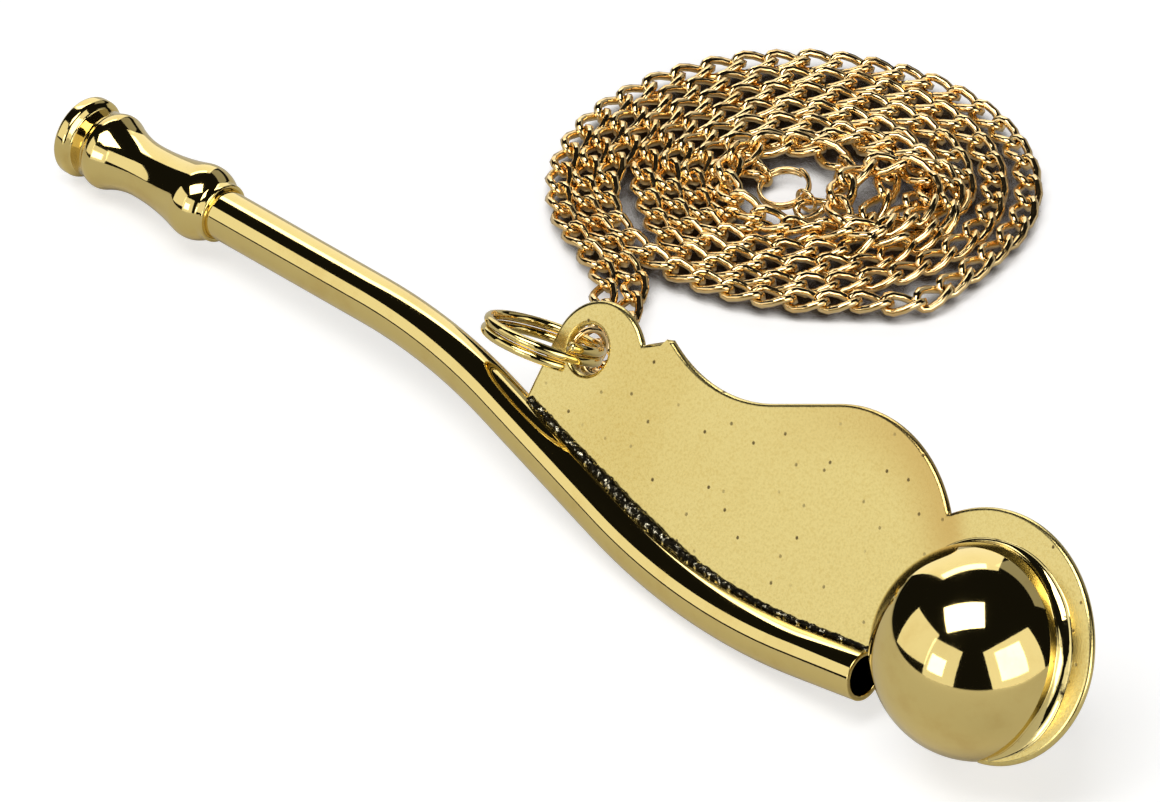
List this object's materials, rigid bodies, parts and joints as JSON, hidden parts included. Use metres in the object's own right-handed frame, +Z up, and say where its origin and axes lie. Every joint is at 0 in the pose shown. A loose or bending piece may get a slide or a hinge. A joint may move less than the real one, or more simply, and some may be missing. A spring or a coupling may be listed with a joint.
{
  "type": "boatswain call",
  "caption": "Polished brass boatswain call: turned mouthpiece, bent gun tube, flat keel with an eye, hollow buoy, split ring and a coiled curb neck chain.",
  "frame": {"origin": "point on the surface that the call lies on, plumb below the centre of the buoy", "axes": "+X along the call from the mouthpiece to the buoy, +Z up from the surface, +Y away from the front face of the keel towards the coiled chain"},
  "size_m": [0.1251, 0.0689, 0.022],
  "materials": {
    "brass": "polished",
    "keel_brass": "polished, with a fine grain",
    "solder": "rough solder bead",
    "chain": "polished wire"
  },
  "bodies": {
    "call": {"mouthpiece": "brass", "gun_tube": "brass", "keel": "keel_brass", "buoy_front_shell": "brass", "buoy_rear_shell": "brass", "gun_solder_front": "solder", "gun_solder_rear": "solder", "buoy_solder_front": "solder", "buoy_solder_rear": "solder", "chain_lead_a": "chain", "chain_lead_b": "chain", "chain_coil_a": "chain", "chain_coil_b": "chain", "join_link_a": "chain", "join_link_b": "chain"},
    "ring": {"split_ring": "brass", "end_link_a": "chain", "end_link_b": "chain"},
    "joiner": {"joining_ring": "chain"}
  },
  "joints": [
    {"name": "ring_swing", "type": "hinge", "parent": "call", "child": "ring", "pos_m": [-0.0516, 0.00101, 0.01287], "axis": [0, -0.829, 0.5592], "range_deg": [-75, 0], "deforming": ["chain_lead_a", "chain_lead_b"]},
    {"name": "joiner_tilt", "type": "hinge", "parent": "call", "child": "joiner", "pos_m": [-0.0679, 0.0384, 0.00125], "axis": [0.9959, 0.091, 0], "range_deg": [-36, 12]}
  ]
}
